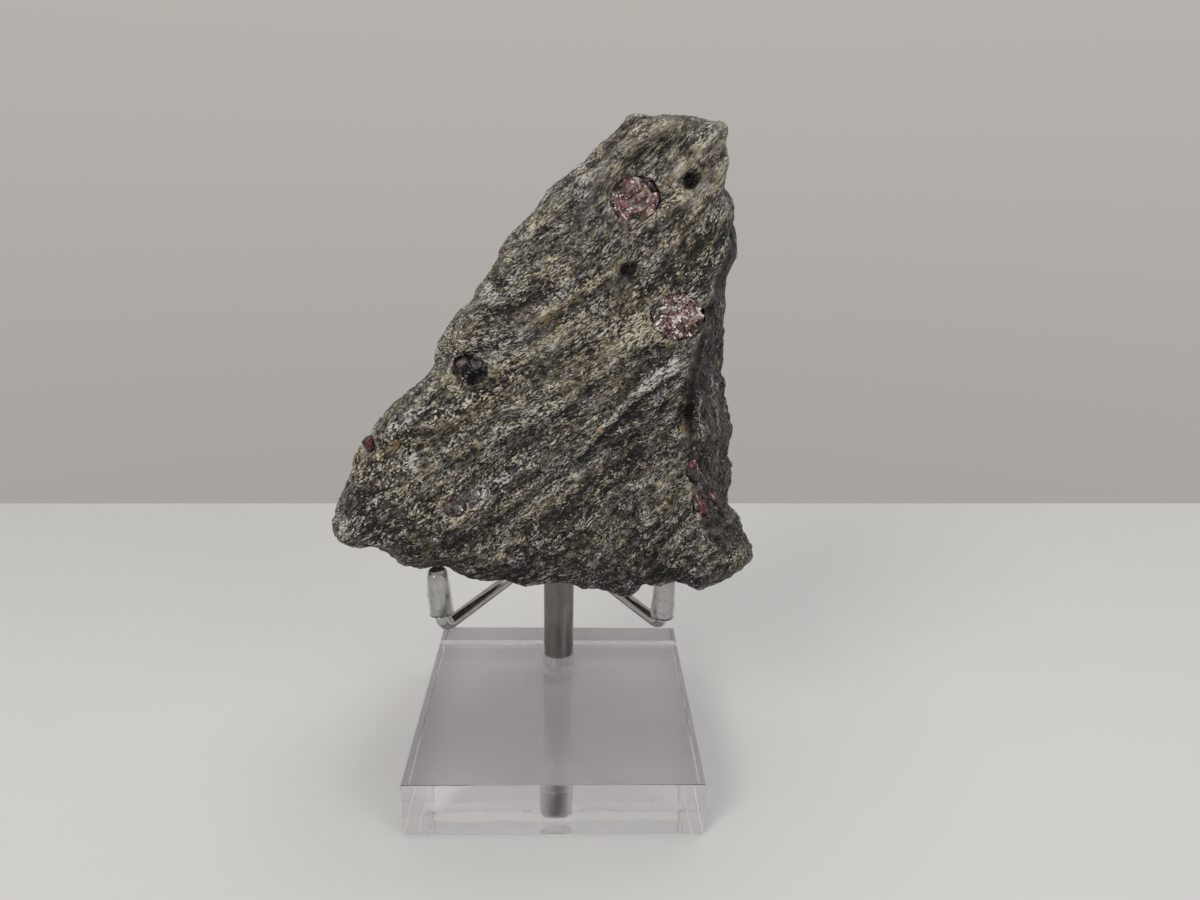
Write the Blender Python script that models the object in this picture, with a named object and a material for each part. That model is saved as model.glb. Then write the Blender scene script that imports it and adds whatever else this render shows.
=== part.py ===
"""Garnets in a wedge of mica schist, held by a three-prong display stand with a clear acrylic base.

Lengths are in millimetres here, and become metres where a mesh, a curve or a place is made.
+X is right, +Y is away from the viewer, +Z is up. The origin is the centre of the base's underside.
"""

import math

import bmesh
import bpy
from mathutils import Euler, Matrix, Vector, noise
from mathutils.bvhtree import BVHTree

MM = 0.001
CLEARANCE = 0.3
TURNED_SIDES = 24
SHARP_ANGLE = math.radians(40)

# Acrylic base
BASE_WIDTH = 50.0
BASE_HEIGHT = 10.0
BASE_CHAMFER = 0.4
HOLE_DEPTH = 5.5

# Post: a round rod, with a socket in its top that holds the three wires
POST_PLACE = (0.0, 15.6)
POST_DIAMETER = 6.0
POST_TOP = 30.0
POST_CHAMFER = 0.3
SOCKET_DIAMETER = 5.4
SOCKET_DEPTH = 6.0

# Wires: one to each front prong, and one that holds the rock from behind
WIRE_DIAMETER = 2.2
WIRE_SPACING = 2.4
WIRE_BEND = 2.0
BEND_STEPS = 6
PRONG_FOOT_HEIGHT = 31.4
LEFT_ARM_HEIGHT = 34.2
LEFT_FOOT = (-19.1, -12.0)
LEFT_TIP = (-19.8, -11.4)
RIGHT_ARM_HEIGHT = 33.0
RIGHT_FOOT = (18.0, -10.8)
RIGHT_TIP = (18.2, -10.8)
BACK_TIP_HEIGHT = 60.0
BACK_TIP_GAP = 0.5
WELL_BEHIND = 20.0

# Clear vinyl cap over the end of each wire
SLEEVE_DIAMETER = 4.1
SLEEVE_LENGTH = 8.5
SLEEVE_CAP = 1.2
SLEEVE_GAP = 0.2
SLEEVE_SIDES = 16
DOME_STEPS = 6

# Rock: the front face leans back, and the back face leans forward a little
FRONT_DEPTH = -18.5
FRONT_LEAN = 0.13
BACK_DEPTH = 9.0
BACK_LEAN = -0.06
DEPTH_HEIGHT = 48.0

# The rock's outline, clockwise from the top left corner as the front shows it. A row holds the place of the
# outermost point (x, y, z), and how far inside it the edge of the front face and that of the back face lie.
OUTLINE = [
    (11.1, -5, 113.5, 2.0, 4.0),
    (15.2, -4, 113.8, 2.0, 4.0),
    (19.4, -4, 113.0, 2.0, 4.0),
    (23.9, -4, 114.0, 2.0, 4.0),
    (25.0, -5, 111.8, 1.5, 4.0),
    (25.7, -5, 107.8, 1.2, 4.5),
    (24.6, -5, 103.0, 1.2, 4.5),
    (26.1, -3, 101.2, 2.0, 4.5),
    (25.9, -3, 97.4, 2.2, 5.0),
    (27.9, -4, 93.5, 2.2, 6.0),
    (26.4, -2, 89.8, 3.2, 5.0),
    (28.0, 0, 85.5, 4.8, 5.0),
    (27.4, 0, 77.2, 6.8, 5.0),
    (29.9, 0, 68.0, 8.8, 6.0),
    (30.2, 0, 61.4, 9.2, 7.0),
    (31.2, 0, 57.9, 9.0, 7.0),
    (30.2, 0, 54.5, 8.0, 7.5),
    (30.3, -3, 51.0, 5.0, 7.0),
    (30.4, -6, 49.2, 4.5, 7.0),
    (32.0, -8, 48.3, 4.0, 7.0),
    (31.9, -9, 45.7, 3.5, 7.0),
    (30.9, -11, 41.3, 5.0, 7.0),
    (26.2, -15, 40.5, 6.5, 5.0),
    (23.7, -15, 40.0, 8.0, 5.0),
    (21.4, -15, 42.1, 7.5, 5.0),
    (16.6, -15, 40.6, 8.0, 5.0),
    (14.3, -15, 41.4, 7.0, 5.0),
    (11.6, -15, 39.4, 8.0, 5.0),
    (7.3, -15, 40.7, 8.0, 5.0),
    (0.4, -15, 41.3, 6.8, 5.0),
    (-5.5, -15, 39.9, 6.8, 5.0),
    (-11.2, -15, 42.0, 6.0, 5.0),
    (-16.5, -12, 41.9, 6.0, 5.0),
    (-22.3, -12, 41.9, 5.8, 5.0),
    (-27.0, -12, 42.7, 5.0, 5.0),
    (-30.2, -12, 45.6, 4.0, 6.0),
    (-34.2, -11, 46.3, 4.0, 7.0),
    (-36.9, -9, 49.2, 3.5, 8.0),
    (-36.4, -9, 52.0, 2.5, 8.0),
    (-34.2, -9, 56.8, 2.0, 7.0),
    (-31.8, -9, 62.3, 2.0, 7.0),
    (-28.8, -9, 66.2, 2.0, 7.0),
    (-26.6, -8, 69.9, 2.0, 7.0),
    (-23.4, -8, 72.6, 2.0, 7.0),
    (-19.8, -8, 76.1, 2.0, 6.0),
    (-17.0, -7, 81.2, 2.0, 6.0),
    (-14.4, -7, 84.8, 2.0, 6.0),
    (-12.8, -6, 88.9, 2.0, 6.0),
    (-10.5, -6, 91.1, 2.0, 6.0),
    (-9.3, -6, 94.9, 2.0, 6.0),
    (-7.2, -6, 97.1, 2.0, 5.0),
    (-4.2, -5, 99.5, 2.0, 5.0),
    (-1.3, -5, 103.1, 2.0, 5.0),
    (1.0, -5, 104.6, 2.0, 5.0),
    (5.8, -5, 109.1, 2.0, 5.0),
]

# Flat breaks, each by three points of its plane and the direction that it faces
BREAKS = {
    "front, below the pale vein": [(17.8, -14.6, 78), (-1.1, -17.1, 58.4), (20, -16.4, 50), (0.3, -1, 0)],
    "back, left edge": [(-30, 0, 52), (-17, 9, 50), (-12, 1, 84), (-1, 1, 0)],
    "back, right edge": [(30, -1, 60), (19, 10, 60), (20, 6, 96), (1, 1, 0)],
    "back, top edge": [(12, -3, 113), (22, -2, 113), (16, 6, 100), (0, 1, 1)],
    "back, bottom edge": [(-20, 4, 44), (20, 3, 43), (0, 10, 55), (0, 1, -1)],
}

# Relief of the broken rock: mica layers that slope up to the right, bend upwards and dip into the rock
LAYER_SLOPE = 0.68
LAYER_BEND = 0.005
LAYER_DIP = 0.6
LAYER_THICKNESS = 4.5
LAYER_WANDER = 0.5
WANDER_LENGTH = 14.0
LEDGE_SHARE = 0.3
LEDGE_HEIGHT = 1.3
LEDGE_LENGTH = 16.0
LEDGE_SEED = 7.3
LUMP_HEIGHT = 1.1
LUMP_SIZE = (12.0, 5.0, 8.0)
GRAIN_HEIGHT = 0.5
GRAIN_SIZE = 3.2

# Hollows of the front: x, z, radius and depth
HOLLOWS = [
    (11.1, 101.8, 4.6, 0.5),
    (18.0, 84.9, 4.8, 0.4),
    (19.1, 104.1, 1.3, 1.6),
    (10.5, 91.4, 1.6, 0.9),
    (-8.6, 89.4, 1.3, 1.0),
    (-13.0, 77.1, 3.2, 0.9),
    (20.2, 69.5, 2.0, 1.6),
]

# The relief is laid on cells this fine, and then only this share of its faces is kept
FINE_CELL = 0.8
COARSE_SHARE = 0.15

# Garnets: a place near the rock's surface, the radius, how far the centre lies below the surface, how far
# the break lies below it (None where the crystal is whole), each axis's share of the radius, the turn in degrees
GARNETS = {
    "garnet_upper": ((11.1, -11.5, 101.9), 3.9, 0.6, 0.55, (1, 1, 0.87), (6, -12, 32)),
    "garnet_middle": ((17.9, -13.7, 85.0), 4.2, 0.6, 0.2, (1, 1, 0.8), (8, 12, 18)),
    "garnet_left": ((-13.2, -14.8, 77.1), 2.8, 0.7, 0.9, (1, 1, 0.78), (10, 20, 20)),
    "garnet_rim": ((-29.1, -13.6, 64.7), 1.2, 0.3, None, (1, 1, 1), (40, 10, 15)),
    "garnet_lower": ((-15.6, -17.5, 55.8), 1.6, 0.3, 0.1, (1, 1, 1), (5, 35, 60)),
    "garnet_flank_top": ((21.3, -14.8, 60.9), 2.1, 0.3, None, (0.5, 0.6, 1), (0, -10, 0)),
    "garnet_flank_middle": ((23.0, -14.6, 55.5), 2.7, 0.3, None, (0.42, 0.6, 1), (0, -24, 0)),
    "garnet_flank_low": ((26.0, -8.6, 54.0), 1.6, 0.4, None, (1, 1, 1), (70, 20, 5)),
}
TRAPEZOHEDRON_RADIUS = 1.9
BREAK_RIM = 0.3
BREAK_ROUGHNESS = 0.12
BREAK_GRAIN = 0.32


def clear_scene():
    for obj in list(bpy.data.objects):
        bpy.data.objects.remove(obj, do_unlink=True)


def make_material(name, colour, roughness, metallic=0.0, transmission=0.0, ior=1.5):
    material = bpy.data.materials.new(name)
    material.use_nodes = True
    shader = material.node_tree.nodes["Principled BSDF"]
    shader.inputs["Base Color"].default_value = (*colour, 1.0)
    shader.inputs["Roughness"].default_value = roughness
    shader.inputs["Metallic"].default_value = metallic
    shader.inputs["Transmission Weight"].default_value = transmission
    shader.inputs["IOR"].default_value = ior
    return material


def add_object(name, data, material=None):
    obj = bpy.data.objects.new(name, data)
    bpy.context.collection.objects.link(obj)
    if material:
        data.materials.append(material)
    return obj


def add_mesh_object(name, shape, material=None):
    """Turns a bmesh in millimetres into an object in metres."""
    bmesh.ops.recalc_face_normals(shape, faces=shape.faces)
    shape.transform(Matrix.Scale(MM, 4))
    mesh = bpy.data.meshes.new(name)
    shape.to_mesh(mesh)
    shape.free()
    return add_object(name, mesh, material)


def make_cutter(obj):
    obj.hide_render = True
    obj.display_type = "WIRE"
    return obj


def cut(obj, cutter):
    modifier = obj.modifiers.new(cutter.name, "BOOLEAN")
    modifier.operation = "DIFFERENCE"
    modifier.object = make_cutter(cutter)


def evaluated_mesh(obj):
    bpy.context.view_layer.update()
    graph = bpy.context.evaluated_depsgraph_get()
    return bpy.data.meshes.new_from_object(obj.evaluated_get(graph))


def smoothstep(value):
    value = min(1.0, max(0.0, value))
    return value * value * (3.0 - 2.0 * value)


# Turned and bent pieces of the stand


def turned(profile, sides=TURNED_SIDES):
    """A closed solid of revolution about Z, from (radius, height) points. Radius 0 is a point on the axis."""
    shape = bmesh.new()
    rings = []
    for radius, height in profile:
        if radius == 0:
            rings.append([shape.verts.new((0, 0, height))] * sides)
            continue
        angles = [2 * math.pi * side / sides for side in range(sides)]
        rings.append([shape.verts.new((radius * math.cos(a), radius * math.sin(a), height)) for a in angles])
    for lower, upper in zip(rings, rings[1:]):
        for side in range(sides):
            after = (side + 1) % sides
            corners = dict.fromkeys([lower[side], lower[after], upper[after], upper[side]])
            if len(corners) > 2:
                shape.faces.new(corners)
    return shape


def arc_profile(radius, height, steps):
    """Points of a round end: from its rim of the given radius and height up to the axis."""
    angles = [math.pi / 2 * step / steps for step in range(steps + 1)]
    points = [(radius * math.cos(a), height + radius * math.sin(a)) for a in angles[:-1]]
    return points + [(0, height + radius)]


def rounded_path(corners, radius):
    """The corners' polyline with each inner corner rounded to an arc."""
    points = [corners[0]]
    for before, corner, after in zip(corners, corners[1:], corners[2:]):
        into = (corner - before).normalized()
        out = (after - corner).normalized()
        turn = into.angle(out)
        reach = radius * math.tan(turn / 2)
        centre = corner + (out - into).normalized() * (radius / math.cos(turn / 2))
        start = corner - into * reach - centre
        axis = into.cross(out).normalized()
        for step in range(BEND_STEPS + 1):
            points.append(centre + Matrix.Rotation(turn * step / BEND_STEPS, 3, axis) @ start)
    return points + [corners[-1]]


def add_wire(name, corners, material):
    curve = bpy.data.curves.new(name, "CURVE")
    curve.dimensions = "3D"
    curve.bevel_depth = WIRE_DIAMETER / 2 * MM
    curve.bevel_resolution = 4
    curve.use_fill_caps = True
    points = rounded_path(corners, WIRE_BEND)
    spline = curve.splines.new("POLY")
    spline.points.add(len(points) - 1)
    for place, point in zip(points, spline.points):
        point.co = (*(place * MM), 1.0)
    return add_object(name, curve, material)


def add_base(material):
    shape = bmesh.new()
    bmesh.ops.create_cube(shape, size=1.0)
    bmesh.ops.scale(shape, vec=(BASE_WIDTH, BASE_WIDTH, BASE_HEIGHT), verts=shape.verts)
    bmesh.ops.translate(shape, vec=(0, 0, BASE_HEIGHT / 2), verts=shape.verts)
    base = add_mesh_object("acrylic_base", shape, material)
    bevel = base.modifiers.new("chamfered edges", "BEVEL")
    bevel.width = BASE_CHAMFER * MM
    bevel.segments = 1
    hole_radius = POST_DIAMETER / 2 + CLEARANCE
    floor = BASE_HEIGHT - HOLE_DEPTH
    hole = turned([(0, floor), (hole_radius, floor), (hole_radius, BASE_HEIGHT + 1), (0, BASE_HEIGHT + 1)])
    hole.transform(Matrix.Translation((*POST_PLACE, 0)))
    cut(base, add_mesh_object("post hole", hole))
    return base


def add_post(material):
    radius = POST_DIAMETER / 2
    bottom = BASE_HEIGHT - HOLE_DEPTH + CLEARANCE
    socket_floor = POST_TOP - SOCKET_DEPTH
    profile = [
        (0, bottom),
        (radius - POST_CHAMFER, bottom),
        (radius, bottom + POST_CHAMFER),
        (radius, POST_TOP),
        (SOCKET_DIAMETER / 2, POST_TOP),
        (SOCKET_DIAMETER / 2, socket_floor),
        (0, socket_floor),
    ]
    post = add_mesh_object("post", turned(profile), material)
    post.location = Vector((*POST_PLACE, 0)) * MM
    post.data.shade_smooth()
    post.data.set_sharp_from_angle(angle=SHARP_ANGLE)
    return post


def wire_start(angle):
    """The lower end of a wire in the post's socket, on the circle that three wires side by side make."""
    ring = WIRE_SPACING / math.sqrt(3)
    turn = math.radians(angle)
    bottom = POST_TOP - SOCKET_DEPTH + CLEARANCE
    return Vector((POST_PLACE[0] + ring * math.cos(turn), POST_PLACE[1] + ring * math.sin(turn), bottom))


def add_sleeve(name, tip, direction, material):
    """A vinyl cap with a round end. Its outermost point is at tip, and the wire runs in against direction."""
    outer = SLEEVE_DIAMETER / 2
    inner = WIRE_DIAMETER / 2 + SLEEVE_GAP
    mouth = -SLEEVE_LENGTH
    profile = [(inner, mouth), (outer, mouth)] + arc_profile(outer, -outer, DOME_STEPS)
    profile += [(0, -SLEEVE_CAP + SLEEVE_GAP), (inner, -SLEEVE_CAP + SLEEVE_GAP), (inner, mouth)]
    shape = turned(profile, SLEEVE_SIDES)
    bmesh.ops.remove_doubles(shape, verts=shape.verts, dist=0.001)
    sleeve = add_mesh_object(name, shape, material)
    sleeve.location = tip * MM
    sleeve.rotation_mode = "QUATERNION"
    sleeve.rotation_quaternion = direction.to_track_quat("Z", "Y")
    sleeve.data.shade_smooth()
    sleeve.data.set_sharp_from_angle(angle=SHARP_ANGLE)
    return sleeve


def add_front_prong(side, angle, arm_height, foot, tip, rock, steel, vinyl):
    """A wire from the post, out under the rock and up to it. The rock's underside sets its end's height."""
    start = wire_start(angle)
    shoulder = Vector((start.x, start.y, arm_height))
    corner = Vector((*foot, PRONG_FOOT_HEIGHT))
    underside = rock.ray_cast(Vector((*tip, PRONG_FOOT_HEIGHT)) * MM, Vector((0, 0, 1)))[0].z / MM
    top = Vector((*tip, underside - CLEARANCE))
    direction = (top - corner).normalized()
    end = top - direction * SLEEVE_CAP
    add_wire("arm_" + side, [start, shoulder, corner, end], steel)
    add_sleeve("sleeve_" + side, top, direction, vinyl)


def add_back_prong(rock, steel, vinyl):
    """A wire from the post, up behind the rock, whose capped end touches the rock's back."""
    start = wire_start(90)
    shoulder = Vector((start.x, start.y, POST_TOP + WIRE_BEND))
    behind = Vector((start.x, start.y + WELL_BEHIND, BACK_TIP_HEIGHT))
    back = rock.ray_cast(behind * MM, Vector((0, -1, 0)))[0].y / MM
    tip = Vector((start.x, back + BACK_TIP_GAP + SLEEVE_DIAMETER / 2, BACK_TIP_HEIGHT))
    direction = (tip - shoulder).normalized()
    top = tip + direction * SLEEVE_DIAMETER
    add_wire("back_prong", [start, shoulder, top - direction * SLEEVE_CAP], steel)
    add_sleeve("sleeve_back", top, direction, vinyl)


# Rock


def front_depth(z):
    return FRONT_DEPTH + FRONT_LEAN * (z - DEPTH_HEIGHT)


def back_depth(z):
    return BACK_DEPTH + BACK_LEAN * (z - DEPTH_HEIGHT)


def inset_ring(column, depth):
    """The outline moved inwards by each row's own inset, on the leaning plane that depth(z) gives."""
    ring = []
    for index, row in enumerate(OUTLINE):
        before, after = OUTLINE[index - 1], OUTLINE[(index + 1) % len(OUTLINE)]
        along = Vector((after[0] - before[0], after[2] - before[2])).normalized()
        x = row[0] + along.y * row[column]
        z = row[2] - along.x * row[column]
        ring.append((x, depth(z), z))
    return ring


def cut_break(shape, plane_points, facing):
    """Takes away all that lies in front of a plane."""
    a, b, c = (Vector(point) for point in plane_points)
    normal = (b - a).cross(c - a).normalized()
    if normal.dot(Vector(facing)) < 0:
        normal = -normal
    everything = shape.verts[:] + shape.edges[:] + shape.faces[:]
    bmesh.ops.bisect_plane(shape, geom=everything, plane_co=a, plane_no=normal, clear_outer=True)
    bmesh.ops.holes_fill(shape, edges=shape.edges, sides=0)


def rock_blank():
    """The wedge with flat faces: three rings round the outline, bridged and capped, then its flat breaks."""
    shape = bmesh.new()
    outermost = [row[:3] for row in OUTLINE]
    rings = [inset_ring(3, front_depth), outermost, inset_ring(4, back_depth)]
    rings = [[shape.verts.new(point) for point in ring] for ring in rings]
    for near, far in zip(rings, rings[1:]):
        for index in range(len(OUTLINE)):
            shape.faces.new((near[index - 1], near[index], far[index], far[index - 1]))
    shape.faces.new(rings[0])
    shape.faces.new(rings[-1])
    bmesh.ops.triangulate(shape, faces=shape.faces)
    for *plane_points, facing in BREAKS.values():
        cut_break(shape, plane_points, facing)
    return shape


def layer_height(index, along):
    return LEDGE_HEIGHT * noise.noise(Vector((index * LEDGE_SEED, along / LEDGE_LENGTH, 0.5)))


def relief(point, normal):
    """How far the broken surface stands out at a point of the blank."""
    x, y, z = point
    unit = 1 / math.hypot(1, LAYER_SLOPE)
    across = unit * (z + LAYER_DIP * y - LAYER_SLOPE * x - LAYER_BEND * x * x)
    along = unit * (x + LAYER_SLOPE * z)
    layered = Vector((along / LUMP_SIZE[0], across / LUMP_SIZE[1], y / LUMP_SIZE[2]))
    height = LUMP_HEIGHT * noise.noise(layered) + GRAIN_HEIGHT * noise.noise(point / GRAIN_SIZE)
    layer = across / LAYER_THICKNESS + LAYER_WANDER * noise.noise(point / WANDER_LENGTH)
    index = math.floor(layer)
    rise = smoothstep((layer - index) / LEDGE_SHARE)
    height += (1 - rise) * layer_height(index, along) + rise * layer_height(index + 1, along)
    if normal.y < 0:
        for hollow_x, hollow_z, radius, depth in HOLLOWS:
            distance = math.hypot(x - hollow_x, z - hollow_z) / radius
            height -= depth * math.exp(-(distance**4))
    return height


def add_rock(material):
    blank = add_mesh_object("rock blank", rock_blank())
    remesh = blank.modifiers.new("even cells", "REMESH")
    remesh.mode = "VOXEL"
    remesh.voxel_size = FINE_CELL * MM
    mesh = evaluated_mesh(blank)
    bpy.data.objects.remove(blank)
    moves = [vertex.normal * relief(vertex.co / MM, vertex.normal) * MM for vertex in mesh.vertices]
    for vertex, move in zip(mesh.vertices, moves):
        vertex.co += move
    mesh.name = "matrix"
    rock = add_object("matrix", mesh, material)
    rock.modifiers.new("fewer faces", "DECIMATE").ratio = COARSE_SHARE
    return rock


# Garnets


def garnet_crystal(radius):
    """A trapezohedron: 24 kite faces, the commonest garnet form together with the dodecahedron."""
    shape = bmesh.new()
    signs = (-1, 1)
    corners = [(a, b, c) for a in signs for b in signs for c in signs]
    for axis in range(3):
        for sign in signs:
            corner = [0.0, 0.0, 0.0]
            corner[axis] = 2.0 * sign
            corners.append(tuple(corner))
            for other in signs:
                middle = [4 / 3 * sign, 4 / 3 * other]
                middle.insert(axis, 0.0)
                corners.append(tuple(middle))
    for corner in corners:
        shape.verts.new(Vector(corner) * radius / TRAPEZOHEDRON_RADIUS)
    bmesh.ops.convex_hull(shape, input=shape.verts)
    return shape


def shatter(shape, normal, radius):
    """Breaks the flat face of a cut crystal into uneven facets round its middle."""
    flat = [face for face in shape.faces if face.normal.dot(normal) > 0.99]
    bmesh.ops.inset_individual(shape, faces=flat, thickness=radius * BREAK_RIM)
    inner = [vertex for face in flat for vertex in face.verts]
    inner += bmesh.ops.poke(shape, faces=flat)["verts"]
    for vertex in inner:
        vertex.co += normal * radius * BREAK_ROUGHNESS * noise.noise(vertex.co / BREAK_GRAIN)


def garnet_solid(radius, shares, turn, centre):
    shape = garnet_crystal(radius)
    rotation = Euler([math.radians(angle) for angle in turn]).to_matrix().to_4x4()
    shape.transform(Matrix.Translation(centre) @ rotation @ Matrix.Diagonal((*shares, 1)))
    shape.normal_update()
    return shape


def add_garnet(name, rock, surface, material):
    near, radius, sink, break_depth, shares, turn = GARNETS[name]
    place, outward, *_ = surface.find_nearest(Vector(near) * MM)
    place = place / MM
    centre = place - outward * sink
    shape = garnet_solid(radius, shares, turn, centre)
    if break_depth is not None:
        everything = shape.verts[:] + shape.edges[:] + shape.faces[:]
        level = place - outward * break_depth
        bmesh.ops.bisect_plane(shape, geom=everything, plane_co=level, plane_no=outward, clear_outer=True)
        bmesh.ops.holes_fill(shape, edges=shape.edges, sides=0)
        bmesh.ops.dissolve_limit(shape, angle_limit=0.01, verts=shape.verts, edges=shape.edges)
        shape.normal_update()
        shatter(shape, outward, radius)
    add_mesh_object(name, shape, material)
    socket = garnet_solid(radius + CLEARANCE, shares, turn, centre)
    cut(rock, add_mesh_object(name + " socket", socket))


def main():
    clear_scene()
    acrylic = make_material("clear acrylic", (0.95, 0.96, 0.97), 0.03, transmission=1.0, ior=1.49)
    vinyl = make_material("clear vinyl", (0.88, 0.89, 0.87), 0.12, transmission=0.9, ior=1.53)
    post_steel = make_material("dull steel", (0.27, 0.25, 0.235), 0.42, metallic=1.0)
    wire_steel = make_material("bright steel", (0.62, 0.62, 0.60), 0.22, metallic=1.0)
    schist = make_material("mica schist", (0.11, 0.11, 0.10), 0.62)
    garnet = make_material("garnet", (0.25, 0.05, 0.06), 0.15)

    rock = add_rock(schist)
    surface_mesh = evaluated_mesh(rock)
    shape = bmesh.new()
    shape.from_mesh(surface_mesh)
    surface = BVHTree.FromBMesh(shape)
    shape.free()
    bpy.data.meshes.remove(surface_mesh)

    add_base(acrylic)
    add_post(post_steel)
    add_front_prong("left", 210, LEFT_ARM_HEIGHT, LEFT_FOOT, LEFT_TIP, surface, wire_steel, vinyl)
    add_front_prong("right", 330, RIGHT_ARM_HEIGHT, RIGHT_FOOT, RIGHT_TIP, surface, wire_steel, vinyl)
    add_back_prong(surface, wire_steel, vinyl)
    for name in GARNETS:
        add_garnet(name, rock, surface, garnet)


main()
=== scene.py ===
"""Garnet in matrix: a wedge of mica schist with garnets, held by three capped wires over a clear block."""

import math

import bpy
import numpy as np
from mathutils import Matrix, Vector, noise


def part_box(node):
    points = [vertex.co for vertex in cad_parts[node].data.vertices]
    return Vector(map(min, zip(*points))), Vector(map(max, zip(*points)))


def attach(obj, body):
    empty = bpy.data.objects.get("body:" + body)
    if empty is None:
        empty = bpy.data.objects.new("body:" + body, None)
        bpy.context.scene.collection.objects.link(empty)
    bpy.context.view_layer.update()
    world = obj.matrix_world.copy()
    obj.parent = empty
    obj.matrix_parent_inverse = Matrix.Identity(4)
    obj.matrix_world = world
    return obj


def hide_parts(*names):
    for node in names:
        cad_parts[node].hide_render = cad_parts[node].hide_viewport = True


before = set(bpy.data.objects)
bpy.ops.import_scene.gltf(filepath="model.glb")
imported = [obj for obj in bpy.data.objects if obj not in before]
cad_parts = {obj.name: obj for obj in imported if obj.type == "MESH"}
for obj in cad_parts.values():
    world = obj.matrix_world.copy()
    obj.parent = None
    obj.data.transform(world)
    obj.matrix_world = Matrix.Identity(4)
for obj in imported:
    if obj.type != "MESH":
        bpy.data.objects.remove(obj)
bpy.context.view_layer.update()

MM = 0.001

# Without a seed, noise_vector takes the clock and the shards come out different each time
noise.seed_set(7)

# Stand, in millimetres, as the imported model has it
BASE_WIDTH = 50.0
BASE_HEIGHT = 10.0
BASE_EDGE = 0.12
TINY_EDGE = 0.03
POST_PLACE = (0.0, 15.6)
POST_DIAMETER = 6.0
POST_BOTTOM = 4.8
POST_TOP = 30.0
POST_EDGE = 0.25
POST_PINHOLE = 0.05
HOLE_DIAMETER = 6.3
HOLE_FLOOR = 4.5
SOCKET_DIAMETER = 5.4
SOCKET_FLOOR = 24.0
WIRE_DIAMETER = 2.2
WIRE_BEND = 2.0
WIRE_BOTTOM = 24.3
WIRE_RING = 2.4 / math.sqrt(3)
SLEEVE_DIAMETER = 4.1
SLEEVE_LENGTH = 8.5
SLEEVE_CAP = 1.2
SLEEVE_LIP = 0.12
SLEEVE_PINHOLE = 0.06
SLEEVE_SIDES = 48
DOME_STEPS = 14
PRONG_FOOT_HEIGHT = 31.4
ROUND_SIDES = 64
DRILL_OVERSHOOT = 1.0

# Front prongs: side, the wire's bearing in the post, its arm's height, and the x and y of its lowest corner
# and of its tip
FRONT_PRONGS = [
    ("left", 210, 34.2, (-19.1, -12.0), (-19.8, -11.4)),
    ("right", 330, 33.0, (18.0, -10.8), (18.2, -10.8)),
]
BACK_BEARING = 90

# Foliation: mica layers that slope up to the right and lean out of the front.
# Their slope swings with height.
LAYER_SLOPE = 0.67
LAYER_BEND = 0.008
LAYER_DIP = -0.4
LAYER_UNIT = 1 / math.hypot(1, LAYER_SLOPE)
SWING = 0.13
SWING_HEIGHT = 105.0
SWING_LENGTH = 55.0

# The pale vein on the front, as height over x: three numbers of a parabola, and the x of its two ends
VEIN_CURVE = (59.93, 1.367, -0.01974)
VEIN_ENDS = (-2.0, 18.2)
VEIN_SLOPE = 1.45

# How far right on the vein its pale colour is half there
VEIN_COLOUR_START = 4.0

# Mesh sizes in millimetres. The rock's gives it about 190,000 triangles.
ROCK_VOXEL = 0.395
GARNET_VOXEL = 0.12

# Relief of the rock in millimetres: steps at the edges of its layers, fibres along them, and lumps
STEP_THICKNESS = 1.15
STEP_HEIGHT = 0.28
STEP_SEED = 5.1
FIBRE_HEIGHT = 0.18
VEIN_HEIGHT = 0.20
VEIN_HALF_WIDTH = 0.7

# Where the rock's front begins, and the heights of the foot and of the flank's two ends
FRONT_DEPTH = -4.0
FOOT_HEIGHT = 47.3
FLANK_LOW = 49.0
FLANK_HIGH = 104.0

CAMERA_PLACE = (2.23, -140.35, 106.61)
CAMERA_LENS = 25.73
CAMERA_TURN, CAMERA_PITCH, CAMERA_ROLL = -2.021, 18.59, -1.236

# Table top, in metres: its width and depth, and where its far edge lies
FLOOR_WIDTH = 2.4
FLOOR_DEPTH = 1.321
FLOOR_BACK = 0.121
FLOOR_TURN = 1.25


def deselect():
    if bpy.context.mode != "OBJECT":
        bpy.ops.object.mode_set(mode="OBJECT")
    bpy.ops.object.select_all(action="DESELECT")


def smoothstep(value):
    """0 to 1 with soft ends, for one number."""
    value = min(max(value, 0.0), 1.0)
    return value * value * (3 - 2 * value)


def soft_step(values):
    """0 to 1 with soft ends, for arrays."""
    values = np.clip(values, 0, 1)
    return values * values * (3 - 2 * values)


def set_stops(ramp, stops):
    while len(ramp.elements) < len(stops):
        ramp.elements.new(0.5)
    for element, (place, colour) in zip(ramp.elements, stops):
        element.position = place
        element.color = (*colour, 1)


def foliation(x, y, z, cosine):
    """How far a point lies across the mica layers and along them, for numbers or a material's values."""
    steepness = SWING * cosine((z - SWING_HEIGHT) * (math.tau / SWING_LENGTH)) + LAYER_SLOPE
    across = (z + LAYER_DIP * y - steepness * x - LAYER_BEND / 2 * x * x) * LAYER_UNIT
    along = (x + LAYER_SLOPE * z) * LAYER_UNIT
    return across, along


# Materials


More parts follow.
